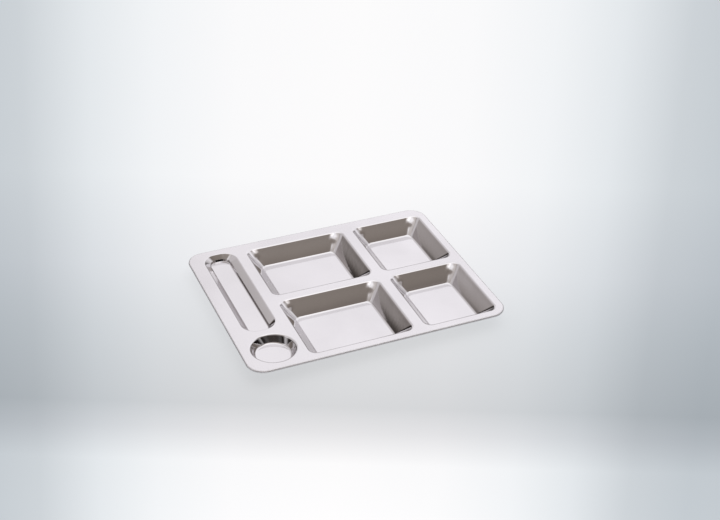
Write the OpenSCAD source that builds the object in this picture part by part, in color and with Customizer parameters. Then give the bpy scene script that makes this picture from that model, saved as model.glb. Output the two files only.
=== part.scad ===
// Divided compartment tray, pressed from one sheet of stainless steel.
// The origin lies on the table under the middle of the tray.
// X runs along the long side, Y towards the back and Z up.
// Each pressed well keeps a narrow flat border, and the deck starts where that ends.

/* [Tray] */
// Overall length, left to right
tray_w = 390; // [380:1:430]
// Overall width, front to back
tray_d = 305; // [296:1:340]
// Radius of the outer corners
tray_corner_r = 25; // [18:1:34]
// Thickness of the sheet
sheet_t = 0.7; // [0.5:0.1:1.2]

/* [Curled edge] */
// Outside radius of the curl
curl_r = 1.9; // [1.6:0.1:2.6]
// How far the sheet turns round in the curl, in degrees
curl_turn = 235; // [180:5:300]

/* [Rims, from the tray's outside to the mouths] */
// Rim left of the slot
rim_left = 21; // [15:0.5:24]
// Rim right of the narrow wells
rim_right = 11; // [8:0.5:20]
// Rim in front of the wells
rim_front = 11.5; // [8:0.5:20]
// Rim behind the wells
rim_rear = 17; // [10:0.5:26]
// Rim behind the slot
rim_slot = 12.5; // [6:0.5:16]

/* [Bridges, from mouth to mouth] */
// Between the slot and the wide wells
slot_bridge = 15; // [10:0.5:20]
// Between the wide wells and the narrow wells
column_bridge = 14; // [6:0.5:22]
// Between the front row and the rear row of wells
row_bridge = 11.5; // [6:0.5:22]
// Between the cup well and the slot
cup_bridge = 9; // [4:0.5:12]

/* [Food wells] */
// Length of a narrow well's mouth
narrow_well_w = 117; // [100:1:125]
// Width of a front well's mouth, front to back
front_well_d = 135; // [120:1:142]
// Depth below the deck
well_depth = 23; // [18:0.5:28]
// Lean of the walls, in degrees from upright
well_lean = 40; // [20:1:45]
// Corner radius of the mouth
well_mouth_r = 11; // [7:0.5:18]
// Corner radius of the floor
well_foot_r = 4; // [2.5:0.5:7]
// Radius of the rounded lip
well_lip_r = 4; // [2:0.1:6]
// Radius where the walls meet the floor
well_floor_r = 4; // [2:0.1:6]

/* [Cutlery slot] */
// Width of the mouth
slot_w = 52; // [46:1:58]
// Depth below the deck
slot_depth = 10; // [7:0.5:12]
// Lean of the walls, in degrees from upright
slot_lean = 43; // [30:1:46]
// How far the end walls run in, as a share of the side walls' run
slot_end_share = 0.68; // [0.5:0.01:1]
// Corner radius of the mouth
slot_mouth_r = 22.5; // [14:0.5:23]
// Corner radius of the floor
slot_foot_r = 11; // [5:0.5:12]
// Radius of the rounded lip
slot_lip_r = 3; // [2:0.1:5]
// Radius where the walls meet the floor
slot_floor_r = 3.5; // [2:0.1:6]

/* [Cup well] */
// Diameter of the mouth
cup_d = 67.5; // [62:0.5:70]
// Depth below the deck
cup_depth = 12; // [8:0.5:16]
// Lean of the wall, in degrees from upright
cup_lean = 28; // [10:1:40]
// Radius of the rounded lip
cup_lip_r = 3.5; // [2:0.1:6]
// Radius where the wall meets the floor
cup_floor_r = 3.5; // [2:0.1:6]

/* [Hidden] */
// Flat border that each well keeps round its mouth
border = 1.5;
// Steps in each bend of the sheet
bend_steps = 5;
// Steps round each corner of a well
corner_steps = 6;
// How far a cut runs past the face that it opens
overrun = 1;
$fn = 96;
steel = "#d9d7d6";
steel_deck = "#cfccca";

// The deck stands above the table by the depth of the food wells and their floor.
top_z = well_depth + sheet_t;

// Mouths, from left to right
slot_x0 = -tray_w / 2 + rim_left;
slot_x1 = slot_x0 + slot_w;
wide_x0 = slot_x1 + slot_bridge;
narrow_x1 = tray_w / 2 - rim_right;
narrow_x0 = narrow_x1 - narrow_well_w;
wide_x1 = narrow_x0 - column_bridge;

// Mouths, from front to back
front_y0 = -tray_d / 2 + rim_front;
front_y1 = front_y0 + front_well_d;
rear_y0 = front_y1 + row_bridge;
rear_y1 = tray_d / 2 - rim_rear;
cup_y1 = front_y0 + cup_d;
slot_y0 = cup_y1 + cup_bridge;
slot_y1 = tray_d / 2 - rim_slot;

// The cup well stands in line with the slot.
cup_x = (slot_x0 + slot_x1) / 2;
cup_y = (front_y0 + cup_y1) / 2;

// The deck is flat up to the line where the curl starts.
flat_x = tray_w / 2 - curl_r;
flat_y = tray_d / 2 - curl_r;
corner_x = tray_w / 2 - tray_corner_r;
corner_y = tray_d / 2 - tray_corner_r;
flat_corner_r = tray_corner_r - curl_r;

// How far the floor lies inside the mouth
function wall_run(depth, lean, lip_r, floor_r) =
    depth * tan(lean) + (lip_r + floor_r) * tan((90 - lean) / 2);

// Upper face of the sheet from the border down to the floor.
// A station is [distance inside the mouth, height from the deck, slope].
function stations(depth, lean, lip_r, floor_r) =
    let (run = wall_run(depth, lean, lip_r, floor_r))
    concat(
        [[-border, 0, 0]],
        [
            for (i = [0 : bend_steps])
                let (a = (90 - lean) * i / bend_steps)
                [lip_r * sin(a), lip_r * (cos(a) - 1), a]
        ],
        [
            for (i = [bend_steps : -1 : 0])
                let (a = (90 - lean) * i / bend_steps)
                [run - floor_r * sin(a), floor_r * (1 - cos(a)) - depth, a]
        ]
    );

// A rectangle with rounded corners, as points round it from the right.
// corner_in is how far the corners' centres lie inside the mouth.
// end_share is how much of the inset the front and rear sides take.
function plan_ring(w, d, inset, corner_in, end_share = 1) = [
    for (quarter = [0 : 3])
        for (i = [0 : corner_steps])
            let (
                sx = (quarter == 0 || quarter == 3) ? 1 : -1,
                sy = quarter < 2 ? 1 : -1,
                a = (quarter + i / corner_steps) * 90,
                r = corner_in - inset
            )
            [
                sx * (w / 2 - corner_in) + r * cos(a),
                sy * (d / 2 - corner_in + max(inset, 0) * (1 - end_share)) + r * sin(a)
            ]
];

// The corners' radius goes from the mouth's to the floor's with the inset.
function corner_inset(inset, run, mouth_r, foot_r) =
    inset < 0 ? mouth_r : inset + mouth_r + (foot_r - mouth_r) * inset / run;

function flipped(faces) = [for (f = faces) [f[2], f[1], f[0]]];

// Triangles between ring k and the next one inside it
function band_faces(start, ring_n, ring_len) = [
    for (k = [0 : ring_n - 2])
        for (i = [0 : ring_len - 1])
            let (
                a = start + k * ring_len + i,
                b = start + k * ring_len + (i + 1) % ring_len
            )
            each [[a, b, a + ring_len], [b, b + ring_len, a + ring_len]]
];

// A pressed well with four leaning walls, open at the top
module well(x0, x1, y0, y1, depth, lean, mouth_r, foot_r, lip_r, floor_r, end_share = 1) {
    run = wall_run(depth, lean, lip_r, floor_r);
    line = stations(depth, lean, lip_r, floor_r);
    ring_n = len(line);
    upper = [
        for (s = line)
            let (corner_in = corner_inset(s[0], run, mouth_r, foot_r))
            for (p = plan_ring(x1 - x0, y1 - y0, s[0], corner_in, end_share))
                [p[0], p[1], s[1]]
    ];
    lower = [
        for (s = line)
            let (corner_in = corner_inset(s[0], run, mouth_r, foot_r))
            for (p = plan_ring(x1 - x0, y1 - y0, s[0] - sheet_t * sin(s[2]), corner_in, end_share))
                [p[0], p[1], s[1] - sheet_t * cos(s[2])]
    ];
    total = len(upper);
    ring_len = total / ring_n;
    faces = concat(
        flipped(band_faces(0, ring_n, ring_len)),
        band_faces(total, ring_n, ring_len),
        [[for (i = [1 : ring_len]) total - i]],
        [[for (i = [0 : ring_len - 1]) 2 * total - ring_len + i]],
        [
            for (i = [0 : ring_len - 1])
                let (j = (i + 1) % ring_len)
                each [[i, j, total + i], [j, total + j, total + i]]
        ]
    );
    translate([(x0 + x1) / 2, (y0 + y1) / 2, top_z])
        polyhedron(points = concat(upper, lower), faces = faces, convexity = 4);
}

module food_well(x0, x1, y0, y1) {
    color(steel)
        well(
            x0, x1, y0, y1, well_depth, well_lean,
            well_mouth_r, well_foot_r, well_lip_r, well_floor_r
        );
}

module rear_left_well() {
    food_well(wide_x0, wide_x1, rear_y0, rear_y1);
}

module rear_right_well() {
    food_well(narrow_x0, narrow_x1, rear_y0, rear_y1);
}

module front_left_well() {
    food_well(wide_x0, wide_x1, front_y0, front_y1);
}

module front_right_well() {
    food_well(narrow_x0, narrow_x1, front_y0, front_y1);
}

module cutlery_slot() {
    color(steel)
        well(
            slot_x0, slot_x1, slot_y0, slot_y1, slot_depth, slot_lean,
            slot_mouth_r, slot_foot_r, slot_lip_r, slot_floor_r, slot_end_share
        );
}

// A round well, turned from its section
module cup_well() {
    line = stations(cup_depth, cup_lean, cup_lip_r, cup_floor_r);
    last = len(line) - 1;
    color(steel)
        translate([cup_x, cup_y, top_z])
            rotate_extrude()
                polygon(concat(
                    [[0, -cup_depth]],
                    [for (i = [last : -1 : 0]) [cup_d / 2 - line[i][0], line[i][1]]],
                    [
                        for (s = line)
                            [
                                cup_d / 2 - s[0] + sheet_t * sin(s[2]),
                                s[1] - sheet_t * cos(s[2])
                            ]
                    ],
                    [[0, -cup_depth - sheet_t]]
                ));
}

// Opening in the deck for a well's border
module mouth(x0, x1, y0, y1, mouth_r) {
    translate([(x0 + x1) / 2, (y0 + y1) / 2])
        polygon(plan_ring(x1 - x0, y1 - y0, -border, mouth_r));
}

module deck_outline() {
    square([2 * flat_x, 2 * corner_y], center = true);
    square([2 * corner_x, 2 * flat_y], center = true);
    for (sx = [-1, 1])
        for (sy = [-1, 1])
            translate([sx * corner_x, sy * corner_y])
                circle(r = flat_corner_r);
}

// Flat sheet between the wells, out to the curl
module deck_sheet() {
    color(steel_deck)
        translate([0, 0, top_z - sheet_t])
            linear_extrude(sheet_t)
                difference() {
                    deck_outline();
                    mouth(wide_x0, wide_x1, rear_y0, rear_y1, well_mouth_r);
                    mouth(narrow_x0, narrow_x1, rear_y0, rear_y1, well_mouth_r);
                    mouth(wide_x0, wide_x1, front_y0, front_y1, well_mouth_r);
                    mouth(narrow_x0, narrow_x1, front_y0, front_y1, well_mouth_r);
                    mouth(slot_x0, slot_x1, slot_y0, slot_y1, slot_mouth_r);
                    translate([cup_x, cup_y])
                        circle(r = cup_d / 2 + border);
                }
}

// Section of the curl about its own middle, open on the inner side.
// The sheet comes in at the top and turns outwards, down and back in.
module curl_section() {
    open_turn = 360 - curl_turn;
    reach = (curl_r + overrun) / cos(open_turn / bend_steps / 2);
    difference() {
        circle(r = curl_r);
        circle(r = curl_r - sheet_t);
        polygon(concat(
            [[0, 0]],
            [
                for (i = [0 : bend_steps])
                    let (a = 90 + open_turn * i / bend_steps)
                    [reach * cos(a), reach * sin(a)]
            ]
        ));
    }
}

// A straight length of curl, its outside towards +X
module straight_curl(length, distance) {
    translate([distance, 0, 0])
        rotate([90, 0, 0])
            linear_extrude(length, center = true)
                curl_section();
}

// Edge of the sheet, curled under all the way round the tray
module rolled_edge() {
    color(steel)
        translate([0, 0, top_z - curl_r])
            for (turn = [0, 180]) {
                rotate([0, 0, turn])
                    straight_curl(2 * corner_y, flat_x);
                rotate([0, 0, turn + 90])
                    straight_curl(2 * corner_x, flat_y);
                rotate([0, 0, turn])
                    translate([corner_x, corner_y, 0])
                        rotate_extrude(angle = 90)
                            translate([flat_corner_r, 0])
                                curl_section();
                rotate([0, 0, turn])
                    translate([-corner_x, corner_y, 0])
                        rotate([0, 0, 90])
                            rotate_extrude(angle = 90)
                                translate([flat_corner_r, 0])
                                    curl_section();
            }
}

deck_sheet();
rolled_edge();
rear_left_well();
rear_right_well();
front_left_well();
front_right_well();
cutlery_slot();
cup_well();
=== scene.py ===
from math import cos, pi, radians, sin, tan

import bmesh
import bpy
from mathutils import Matrix, Vector


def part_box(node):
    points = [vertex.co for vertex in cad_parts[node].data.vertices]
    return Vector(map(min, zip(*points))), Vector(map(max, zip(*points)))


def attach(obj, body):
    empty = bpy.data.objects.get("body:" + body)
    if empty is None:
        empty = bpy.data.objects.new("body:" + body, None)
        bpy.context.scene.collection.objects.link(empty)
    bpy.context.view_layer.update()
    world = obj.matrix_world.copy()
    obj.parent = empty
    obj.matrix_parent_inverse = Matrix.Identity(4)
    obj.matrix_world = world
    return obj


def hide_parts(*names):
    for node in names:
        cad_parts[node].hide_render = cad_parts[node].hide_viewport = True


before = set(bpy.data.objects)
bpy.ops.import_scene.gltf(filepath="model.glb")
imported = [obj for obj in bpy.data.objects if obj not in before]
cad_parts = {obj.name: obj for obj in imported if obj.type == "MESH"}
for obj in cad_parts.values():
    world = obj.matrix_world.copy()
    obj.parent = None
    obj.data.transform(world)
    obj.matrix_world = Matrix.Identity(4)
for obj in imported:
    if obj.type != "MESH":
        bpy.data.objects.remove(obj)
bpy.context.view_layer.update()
print("frame loaded", sorted(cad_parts))

scene = bpy.context.scene
scene.view_settings.view_transform = "Standard"
white = (1, 1, 1)


# shader helpers
class Value:
    def __init__(self, graph, socket):
        self.graph = graph
        self.socket = socket

    def maths(self, operation, *others):
        inputs = dict(enumerate((self, *others)))
        return self.graph.node("ShaderNodeMath", {"operation": operation}, inputs)

    def __add__(self, other):
        return self.maths("ADD", other)

    def __mul__(self, other):
        return self.maths("MULTIPLY", other)

    def __truediv__(self, other):
        return self.maths("DIVIDE", other)

    __radd__ = __add__
    __rmul__ = __mul__


class Graph:
    def __init__(self, tree):
        self.tree = tree
        tree.nodes.clear()

    def node(self, kind, settings=None, inputs=None, output=0):
        made = self.tree.nodes.new(kind)
        for name, value in (settings or {}).items():
            if name == "stops":
                ramp = made.color_ramp
                while len(ramp.elements) < len(value):
                    ramp.elements.new(0.5)
                for element, (place, colour) in zip(ramp.elements, value):
                    element.position = place
                    element.color = (*colour, 1)
            else:
                setattr(made, name, value)
        for name, value in (inputs or {}).items():
            if isinstance(value, Value):
                self.tree.links.new(value.socket, made.inputs[name])
            else:
                made.inputs[name].default_value = value
        return Value(self, made.outputs[output]) if made.outputs else None

    def fade(self, value, low, high):  # 0 at low, 1 at high, smooth between
        return self.node("ShaderNodeMapRange", {"interpolation_type": "SMOOTHSTEP"},
                         {"Value": value, "From Min": low, "From Max": high})

    def blend(self, share, first, second, how="MIX"):  # 6, 7 and 2 are Mix's colour sockets
        return self.node("ShaderNodeMix", {"data_type": "RGBA", "blend_type": how},
                         {0: share, 6: first, 7: second}, 2)

    def ramp(self, value, stops):  # colours at places along a value
        first, last = stops[0][0], stops[-1][0]
        share = self.node("ShaderNodeMapRange", None, {"Value": value, "From Min": first, "From Max": last})
        places = [((place - first) / (last - first), colour) for place, colour in stops]
        return self.node("ShaderNodeValToRGB", {"stops": places}, {"Fac": share})


# polished steel
steelLook = {
    "bright": (0.70, 0.682, 0.695, 1), "dull": (0.66, 0.642, 0.655, 1),
    "roughness": 0.06, "roughnessSpread": 0.06, "cloudShare": 0.6, "scratchShare": 0.5,
    "cloudScale": 9, "cloudDetail": 4, "cloudEdges": (0.35, 0.7),
    "waveScale": 16, "waveDetail": 1, "waveRoughness": 0.4, "waveHeight": 0.0003,
    "grainScale": 900, "grainDetail": 2, "grainHeight": 0.000002,
    "scratchScale": (40, 1500, 400), "scratchTurn": 0.35, "scratchDetail": 3, "scratchEdges": (0.62, 0.74),
    "drawScale": (300, 300, 25), "drawDetail": 2, "drawHeight": 0.00003,
    "wallEdges": (0.95, 0.85),  # upward part of the normal, on the flats and on the drawn walls
}
edgeLook = {**steelLook, "roughness": 0.5}  # the roller leaves the edge less bright


def polishedSteel(name, look):
    steel = bpy.data.materials.new(name)
    steel.use_nodes = True
    g = Graph(steel.node_tree)
    place = g.node("ShaderNodeTexCoord", output="Object")
    cloud = g.node("ShaderNodeTexNoise", None,
                   {"Vector": place, "Scale": look["cloudScale"], "Detail": look["cloudDetail"]})
    wave = g.node("ShaderNodeTexNoise", None,
                  {"Vector": place, "Scale": look["waveScale"], "Detail": look["waveDetail"],
                   "Roughness": look["waveRoughness"]})
    grain = g.node("ShaderNodeTexNoise", None,
                   {"Vector": place, "Scale": look["grainScale"], "Detail": look["grainDetail"]})
    brushed = g.node("ShaderNodeMapping", None,
                     {"Vector": place, "Rotation": (0, 0, look["scratchTurn"]),
                      "Scale": look["scratchScale"]})
    streak = g.node("ShaderNodeTexNoise", None,
                    {"Vector": brushed, "Scale": 1, "Detail": look["scratchDetail"]})
    scratch = g.fade(streak, *look["scratchEdges"])
    dull = g.fade(cloud, *look["cloudEdges"])
    marks = dull * look["cloudShare"] + scratch * look["scratchShare"]
    rough = look["roughness"] + look["roughnessSpread"] * marks
    rolling = g.node("ShaderNodeBump", None,
                     {"Height": wave, "Distance": look["waveHeight"], "Strength": 1})
    normal = g.node("ShaderNodeNewGeometry", output="Normal")
    facing = g.node("ShaderNodeSeparateXYZ", None, {"Vector": normal}, "Z")
    wall = g.fade(facing.maths("ABSOLUTE"), *look["wallEdges"])
    stretch = g.node("ShaderNodeMapping", None, {"Vector": place, "Scale": look["drawScale"]})
    drawn = g.node("ShaderNodeTexNoise", None,
                   {"Vector": stretch, "Scale": 1, "Detail": look["drawDetail"]})
    marked = g.node("ShaderNodeBump", None,
                    {"Height": drawn * wall, "Distance": look["drawHeight"],
                     "Strength": 1, "Normal": rolling})
    surface = g.node("ShaderNodeBump", None,
                     {"Height": grain + scratch, "Distance": look["grainHeight"],
                      "Strength": 1, "Normal": marked})
    shader = g.node("ShaderNodeBsdfPrincipled", None, {
        "Base Color": g.blend(dull, look["bright"], look["dull"]),
        "Metallic": 1, "Roughness": rough, "Normal": surface})
    g.node("ShaderNodeOutputMaterial", None, {"Surface": shader})
    return steel


sheetSteel = polishedSteel("polishedSteel", steelLook)
edgeSteel = polishedSteel("edgeSteel", edgeLook)
print("steel mixed")


# sheet metal helpers
sheetMetal = {"thickness": 0.0007, "border": 0.0015, "bendSteps": 12, "creaseAngle": radians(32),
              "mergeWithin": 1e-7}


def roundedLoop(bm, centre, size, radius, z, steps):
    made = bmesh.ops.create_grid(bm, x_segments=1, y_segments=1, size=0.5)
    bmesh.ops.scale(bm, vec=(size[0], size[1], 1), verts=made["verts"])
    bmesh.ops.translate(bm, vec=(centre[0], centre[1], z), verts=made["verts"])
    made = bmesh.ops.bevel(bm, geom=made["verts"], offset=radius, offset_type="OFFSET",
                           segments=steps, profile=0.5, affect="VERTICES", material=-1)
    return made["verts"][0].link_faces[0]


def roundLoop(bm, centre, radius, z, steps):
    made = bmesh.ops.create_circle(bm, cap_ends=True, radius=radius, segments=steps)
    bmesh.ops.translate(bm, vec=(centre[0], centre[1], z), verts=made["verts"])
    return made["verts"][0].link_faces[0]


def opened(bm, face):  # deletes the face and gives the loop round it
    edges = list(face.edges)
    bmesh.ops.delete(bm, geom=[face], context="FACES_ONLY")
    return edges


def loft(bm, rings):  # rings have the same number of corners, in the same order
    for outer, inner in zip(rings, rings[1:]):
        for i in range(len(outer)):
            bm.faces.new((outer[i - 1], outer[i], inner[i], inner[i - 1]))


def pressLine(depth, shape):  # distance inside the mouth and drop, from border to floor
    lip, foot, kick = shape["lip"], shape["foot"], shape["kick"]
    steep = pi / 2 - shape["lean"]
    run = depth * tan(shape["lean"]) + (lip + foot) * tan(steep / 2)
    shares = [i / sheetMetal["bendSteps"] for i in range(sheetMetal["bendSteps"] + 1)]
    line = [(-sheetMetal["border"], 0)]
    line += [(lip * sin(steep * t), lip * (1 - cos(steep * t))) for t in shares]
    lower = [(run - foot * sin(a), depth - foot * (1 - cos(a)))
             for a in ((steep + kick) * t for t in reversed(shares))]
    if kick:  # the wall steepens towards its foot
        start, end = line[-1], lower[0]
        across, down = end[0] - start[0], end[1] - start[1]
        bulge = across - down / tan(steep + kick)
        for t in shares[1:-1]:
            bow = bulge * t ** shape["kickPower"] * (1 - t)
            line.append((start[0] + across * t + bow, start[1] + down * t))
    return line + lower


def bend(line, start, end, radius):  # adds an arc that turns from one slope to another
    x, drop = line[-1]
    way = radius if end > start else -radius
    for i in range(1, sheetMetal["bendSteps"] + 1):
        a = start + (end - start) * i / sheetMetal["bendSteps"]
        line.append((x + way * (sin(a) - sin(start)), drop + way * (cos(start) - cos(a))))


def steppedLine(depth, shape):  # as pressLine, with a steep step and a soft bend into the floor
    steep, foot = pi / 2 - shape["lean"], pi / 2 - shape["stepLean"]
    dish = shape["dish"]
    line = [(-sheetMetal["border"], 0), (0, 0)]
    bend(line, 0, steep, shape["lip"])
    below = (shape["knee"] * (cos(steep) - cos(foot)) + shape["step"]
             + shape["foot"] * (cos(dish) - cos(foot)) + shape["dishRadius"] * (1 - cos(dish)))
    drop = depth - below
    line.append((line[-1][0] + (drop - line[-1][1]) / tan(steep), drop))
    bend(line, steep, foot, shape["knee"])
    line.append((line[-1][0] + shape["step"] / tan(foot), line[-1][1] + shape["step"]))
    bend(line, foot, dish, shape["foot"])
    bend(line, dish, 0, shape["dishRadius"])
    return line


def faceHeight(face):
    return face.calc_center_median().z


def finishSheet(bm, name, node, pick=min, steel=sheetSteel):  # the lowest or highest face points up
    bmesh.ops.remove_doubles(bm, verts=bm.verts[:], dist=sheetMetal["mergeWithin"])
    bmesh.ops.recalc_face_normals(bm, faces=bm.faces[:])
    bm.normal_update()
    if pick(bm.faces, key=faceHeight).normal.z < 0:
        bmesh.ops.reverse_faces(bm, faces=bm.faces[:])
    bmesh.ops.solidify(bm, geom=bm.faces[:], thickness=sheetMetal["thickness"])
    bm.normal_update()
    for face in bm.faces:
        face.smooth = True
    for edge in bm.edges:
        edge.smooth = edge.calc_face_angle(0) < sheetMetal["creaseAngle"]
    mesh = bpy.data.meshes.new(name)
    bm.to_mesh(mesh)
    bm.free()
    piece = bpy.data.objects.new(name, mesh)
    scene.collection.objects.link(piece)
    mesh.materials.append(steel)
    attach(piece, "root")
    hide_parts(node)
    print(name, len(mesh.polygons), "faces")


# food wells and cutlery slot
foodWells = {
    "pieces": {"rearLeftWell": "rear_left_well", "rearRightWell": "rear_right_well",
               "frontLeftWell": "front_left_well", "frontRightWell": "front_right_well"},
    "line": pressLine, "lean": radians(40), "lip": 0.004, "foot": 0.004,
    "kick": radians(3), "kickPower": 2,
    "mouthCorner": 0.0125, "footCorner": 0.0075, "cornerSteps": 16, "endShare": 1,
}
cornerPuckers = {  # the sheet puckers a little where it is drawn round the far corners
    "aside": 0.0165, "inset": 0.0092, "drop": 0.0080, "radius": 0.0095, "height": 0.0011,
    "leftShare": 0.8, "cuts": 72, "longShare": 0.25, "levelWithin": 1e-6,
}
cutlerySlot = {
    "pieces": {"cutlerySlot": "cutlery_slot"},
    "line": steppedLine, "lean": radians(55), "lip": 0.003, "knee": 0.001,
    "stepLean": radians(21), "step": 0.0025, "foot": 0.0011, "dish": radians(4), "dishRadius": 0.020,
    "mouthCorner": 0.0225, "footCorner": 0.0100, "cornerSteps": 18,
    "endShare": 0.55,  # the slot's ends are steeper than its sides
}


def farWallEdges(bm, low, high, marks):  # the long level edges of the far wall
    middle = (low.y + high.y) / 2
    long = (high.x - low.x) * marks["longShare"]
    edges = []
    for edge in bm.edges:
        first, second = (vert.co.y for vert in edge.verts)
        level = abs(first - second) < marks["levelWithin"]
        if level and min(first, second) > middle and edge.calc_length() > long:
            edges.append(edge)
    return edges


def puckerCorners(bm, low, high, lean, marks):
    bmesh.ops.subdivide_edges(bm, edges=farWallEdges(bm, low, high, marks), cuts=marks["cuts"])
    out = Vector((0, -cos(lean), sin(lean))) * marks["height"]
    for x, share in ((low.x + marks["aside"], marks["leftShare"]), (high.x - marks["aside"], 1)):
        middle = Vector((x, high.y - marks["inset"], high.z - marks["drop"]))
        for vert in bm.verts:
            t = max(0, 1 - (vert.co - middle).length / marks["radius"])
            vert.co += out * share * t * t * (3 - 2 * t)  # a smooth bump


def pressedWell(name, node, shape):
    low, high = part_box(node)
    border = sheetMetal["border"]
    centre = (low + high) / 2
    line = shape["line"](high.z - low.z - sheetMetal["thickness"], shape)
    run, floorDrop = line[-1]
    cornerChange = shape["mouthCorner"] - shape["footCorner"]
    bm = bmesh.new()
    rings = []
    for inset, drop in line:
        endInset = inset * (shape["endShare"] if inset > 0 else 1)
        size = (high.x - low.x - 2 * (border + inset), high.y - low.y - 2 * (border + endInset))
        if inset < 0:
            corner = shape["mouthCorner"] - inset
        else:
            corner = shape["footCorner"] + cornerChange * (1 - inset / run)
        face = roundedLoop(bm, centre, size, corner, high.z - drop, shape["cornerSteps"])
        rings.append(list(face.verts))
        if drop < floorDrop:
            opened(bm, face)
    loft(bm, rings)
    if shape is foodWells:
        puckerCorners(bm, low, high, shape["lean"], cornerPuckers)
    finishSheet(bm, name, node)


for shape in (foodWells, cutlerySlot):
    for name, node in shape["pieces"].items():
        pressedWell(name, node, shape)


# cup well
cupWell = {"lean": radians(28), "lip": 0.0035, "foot": 0.0035, "kick": 0, "steps": 128}


def roundWell(name, node, shape):
    low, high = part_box(node)
    centre = (low + high) / 2
    mouth = (high.x - low.x) / 2 - sheetMetal["border"]
    line = pressLine(high.z - low.z - sheetMetal["thickness"], shape)
    floorDrop = line[-1][1]
    bm = bmesh.new()
    rings = []
    for inset, drop in line:
        face = roundLoop(bm, centre, mouth - inset, high.z - drop, shape["steps"])
        rings.append(list(face.verts))
        if drop < floorDrop:
            opened(bm, face)
    loft(bm, rings)
    finishSheet(bm, name, node)


roundWell("cupWell", "cup_well", cupWell)


# deck and curled edge
deckSheet = {"corner": 0.025, "cornerSteps": 24}
curledEdge = {"radius": 0.0019, "turn": radians(235), "steps": 30}


def flatDeck(name, node):
    low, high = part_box(node)
    bm = bmesh.new()
    edges = opened(bm, roundedLoop(bm, (low + high) / 2, high - low,
                                   deckSheet["corner"] - curledEdge["radius"], high.z,
                                   deckSheet["cornerSteps"]))
    for shape in (foodWells, cutlerySlot):
        for other in shape["pieces"].values():
            inner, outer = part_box(other)
            edges += opened(bm, roundedLoop(bm, (inner + outer) / 2, outer - inner,
                                            shape["mouthCorner"] + sheetMetal["border"], high.z,
                                            shape["cornerSteps"]))
    inner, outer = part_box("cup_well")
    edges += opened(bm, roundLoop(bm, (inner + outer) / 2, (outer.x - inner.x) / 2,
                                  high.z, cupWell["steps"]))
    bmesh.ops.triangle_fill(bm, edges=edges, use_beauty=True, normal=(0, 0, 1))
    finishSheet(bm, name, node)


def edgeCurl(name, node):
    low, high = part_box(node)
    centre = (low + high) / 2
    radius = curledEdge["radius"]
    bm = bmesh.new()
    rings = []
    for i in range(curledEdge["steps"] + 1):
        a = curledEdge["turn"] * i / curledEdge["steps"]
        reach = radius * (1 - sin(a))
        size = (high.x - low.x - 2 * reach, high.y - low.y - 2 * reach)
        face = roundedLoop(bm, centre, size, deckSheet["corner"] - reach,
                           high.z - radius * (1 - cos(a)), deckSheet["cornerSteps"])
        rings.append(list(face.verts))
        opened(bm, face)
    loft(bm, rings)
    finishSheet(bm, name, node, max, edgeSteel)


flatDeck("deckSheet", "deck_sheet")
edgeCurl("curledEdge", "rolled_edge")


# floor; its colour as seen is painted light: a painted glow in the middle, painted shade to the sides and
# in a band in front
floorLook = {
    "size": 14, "cells": 4, "drop": 0.0002, "turn": radians(24.22),
    "plain": (0.92, 0.92, 0.92, 1), "paintedLightShare": 0.74,
    # the across and away ramps paint a glow and its shade: a bright strip in the middle, painted shade to
    # the sides and in a band in front of the tray, and painted light again nearer the camera
    "reach": 0.46, "widening": 0.25,  # the bright strip is wider at the back
    "across": [(0.0, (1.03, 1.03, 1.035)), (0.35, (1.01, 1.015, 1.025)), (0.6, (0.935, 0.96, 0.98)),
               (0.8, (0.82, 0.86, 0.89)), (1.0, (0.645, 0.69, 0.725)), (1.2, (0.58, 0.63, 0.67))],
    "away": [(-0.45, (1.02, 1.02, 1.02)), (-0.36, white), (-0.30, (0.81, 0.81, 0.82)),
             (-0.25, (0.70, 0.71, 0.72)), (-0.09, (0.79, 0.80, 0.81)), (0.07, (0.90, 0.90, 0.91)),
             (0.34, white)],
}


def floorWithPaintedGlow(look):
    bm = bmesh.new()
    bmesh.ops.create_grid(bm, x_segments=look["cells"], y_segments=look["cells"], size=look["size"] / 2)
    bmesh.ops.translate(bm, vec=(0, 0, -look["drop"]), verts=bm.verts[:])
    mesh = bpy.data.meshes.new("floor")
    bm.to_mesh(mesh)
    bm.free()
    floor = bpy.data.objects.new("floor", mesh)
    scene.collection.objects.link(floor)
    material = bpy.data.materials.new("floorWithPaintedGlow")
    material.use_nodes = True
    g = Graph(material.node_tree)
    place = g.node("ShaderNodeMapping", None, {
        "Vector": g.node("ShaderNodeTexCoord", output="Object"), "Rotation": (0, 0, look["turn"])})
    across, away = (g.node("ShaderNodeSeparateXYZ", None, {"Vector": place}, axis) for axis in "XY")
    side = across.maths("ABSOLUTE") / (look["reach"] + look["widening"] * away)
    # the painted glow and shade, by place on the floor
    colour = g.blend(1, g.ramp(side, look["across"]), g.ramp(away, look["away"]), "MULTIPLY")
    seen = g.node("ShaderNodeLightPath", output="Is Camera Ray")
    for rays in ("Is Glossy Ray", "Is Transmission Ray"):
        seen = seen.maths("MAXIMUM", g.node("ShaderNodeLightPath", output=rays))
    matt = g.node("ShaderNodeBsdfDiffuse", None, {"Color": g.blend(seen, look["plain"], colour)})
    # camera, glossy and transmission rays see the painted glow as emission, which also lightens the
    # object's cast shadow with painted light
    lit = g.node("ShaderNodeEmission", None, {"Color": colour})
    surface = g.node("ShaderNodeMixShader", None, {0: seen * look["paintedLightShare"], 1: matt, 2: lit})
    g.node("ShaderNodeOutputMaterial", None, {"Surface": surface})
    mesh.materials.append(material)
    print("floor laid")


floorWithPaintedGlow(floorLook)


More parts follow.
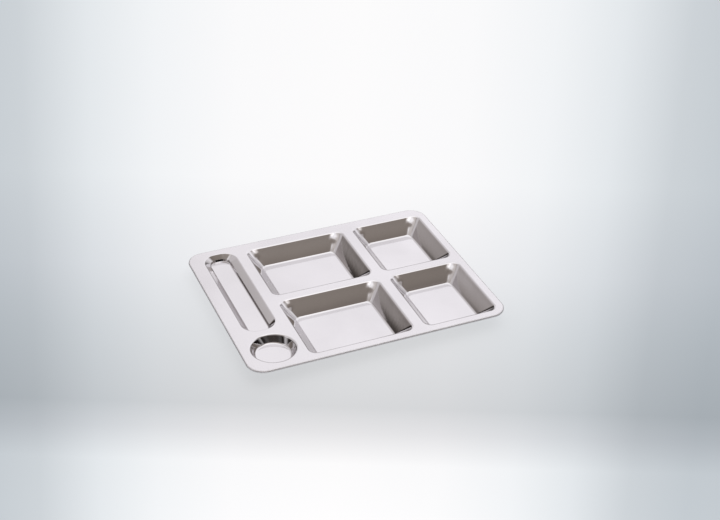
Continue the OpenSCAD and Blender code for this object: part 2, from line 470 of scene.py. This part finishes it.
# studio light
studio = {
    "tent": [(0.0, (0.80, 0.79, 0.80)), (0.56, (1.12, 1.10, 1.13)), (0.85, (1.17, 1.16, 1.18)),
             (1.0, (1.35, 1.34, 1.36))],
    "horizon": [(0.0, (0.10, 0.09, 0.08)), (0.06, (0.14, 0.13, 0.12)), (0.18, (0.50, 0.49, 0.485)),
                (0.30, (0.75, 0.74, 0.735)), (0.43, (0.87, 0.865, 0.86)), (0.50, white)],
    "lamp": {"towards": (0.32, -0.44, 0.84), "near": 0.975, "full": 0.990, "colour": (0.45, 0.44, 0.43, 1)},
}
studioParts = {  # tints on the tent: sides in degrees from the front, left positive, and heights
    "front": {  # the room behind the camera
        "sides": [(-90, 0), (-66, 1), (74, 1), (84, 0)],
        "heights": [(0.29, white), (0.35, (0.105, 0.092, 0.08)), (0.38, (0.11, 0.097, 0.084)),
                    (0.41, (0.5, 0.475, 0.455)), (0.51, (0.5, 0.475, 0.455)), (0.56, (0.205, 0.181, 0.156)),
                    (0.60, (0.23, 0.204, 0.176)), (0.66, (0.262, 0.233, 0.202)),
                    (0.71, (0.285, 0.256, 0.225)), (0.77, (0.46, 0.43, 0.40)), (0.84, white)]},
    "table": {  # the dark table under that room
        "sides": [(-45, 0), (-37, 1), (74, 1), (84, 0)],
        "heights": [(0.0, (0.02, 0.018, 0.016)), (0.30, (0.035, 0.031, 0.028)), (0.36, (0.6, 0.6, 0.6)),
                    (0.42, white)]},
    "bench": {  # its lower end on the right
        "sides": [(-140, 0), (-110, 1), (-45, 1), (-37, 0)],
        "heights": [(0.0, (0.02, 0.018, 0.016)), (0.19, (0.035, 0.031, 0.028)), (0.22, (0.3, 0.3, 0.3)),
                    (0.25, white)]},
    "left": {  # the end of the table, outside the tent
        "sides": [(90, 0), (102, 1), (164, 1), (179, 0)],
        "heights": [(0.0, (0.04, 0.036, 0.032)), (0.12, (0.06, 0.054, 0.048)), (0.18, (0.10, 0.09, 0.08)),
                    (0.22, (0.18, 0.163, 0.146)), (0.25, (0.33, 0.305, 0.282)),
                    (0.275, (0.52, 0.49, 0.462)), (0.335, (0.57, 0.543, 0.518)),
                    (0.36, (0.72, 0.70, 0.685)), (0.60, (0.62, 0.605, 0.595)),
                    (0.80, (0.65, 0.635, 0.625)), (0.93, white)]},
    "stand": {  # a dark stand at the back left
        "sides": [(148, 0), (156, 1), (172, 1), (179, 0)],
        "heights": [(0.10, white), (0.18, (0.3, 0.28, 0.27)), (0.36, (0.3, 0.28, 0.27)), (0.42, white)]},
    "curtain": {  # a darker fold in the middle of the back wall
        "sides": [(-180, 1), (-168, 1), (-163.5, 0)],
        "heights": [(0.55, white), (0.585, (0.62, 0.60, 0.60)), (0.68, (0.62, 0.60, 0.60)), (0.74, white)]},
    "window": {  # the brighter back wall on the right
        "sides": [(-164, 0), (-150, 1), (-110, 1), (-80, 0)],
        "heights": [(0.42, white), (0.50, (1.13, 1.135, 1.14)), (0.54, (1.10, 1.105, 1.11)),
                    (0.62, (1.07, 1.075, 1.08)), (0.70, white)]},
    "crown": {  # the seam of the tent, high on the left
        "sides": [(0, 0), (30, 1), (112, 1), (140, 0)],
        "heights": [(0.70, white), (0.78, (0.62, 0.59, 0.56)), (0.92, (0.62, 0.59, 0.56)), (0.985, white)]},
}


def studioWorld(look, parts):
    world = bpy.data.worlds.new("studio")
    scene.world = world
    world.use_nodes = True
    g = Graph(world.node_tree)
    way = g.node("ShaderNodeTexCoord", output="Generated")
    aside, along, up = (g.node("ShaderNodeSeparateXYZ", None, {"Vector": way}, axis) for axis in "XYZ")
    bearing = (aside * -1).maths("ARCTAN2", along * -1)
    colour = g.blend(1, g.ramp(up, look["tent"]), g.ramp(up, look["horizon"]), "MULTIPLY")
    for part in parts.values():
        sides = g.ramp(bearing, [(radians(angle), (share, share, share)) for angle, share in part["sides"]])
        tint = g.blend(sides, (*white, 1), g.ramp(up, part["heights"]))
        colour = g.blend(1, colour, tint, "MULTIPLY")
    lamp = look["lamp"]
    near = g.node("ShaderNodeVectorMath", {"operation": "DOT_PRODUCT"},
                  {0: way, 1: Vector(lamp["towards"]).normalized()}, "Value")
    colour = g.blend(g.fade(near, lamp["near"], lamp["full"]), colour, lamp["colour"], "ADD")
    light = g.node("ShaderNodeBackground", None, {"Color": colour})
    g.node("ShaderNodeOutputWorld", None, {"Surface": light})
    print("studio lit")


studioWorld(studio, studioParts)


# camera
view = {"azimuth": radians(-24.22), "elevation": radians(33.83), "roll": radians(1.66),
        "lens": 65.37, "sensorWidth": 36, "aside": 0.0247, "above": 0.0342, "away": 1.9168}


def photoCamera(look):
    camera = bpy.data.objects.new("camera", bpy.data.cameras.new("camera"))
    camera.data.lens = look["lens"]
    camera.data.sensor_width = look["sensorWidth"]
    turn = (Matrix.Rotation(look["azimuth"], 4, "Z") @ Matrix.Rotation(pi / 2 - look["elevation"], 4, "X")
            @ Matrix.Rotation(look["roll"], 4, "Z"))
    deckTop = Vector((0, 0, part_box("deck_sheet")[1].z))
    camera.matrix_world = (Matrix.Translation(deckTop) @ turn
                           @ Matrix.Translation((look["aside"], look["above"], look["away"])))
    scene.collection.objects.link(camera)
    scene.camera = camera
    print("camera placed")


photoCamera(view)

print("scene ready")
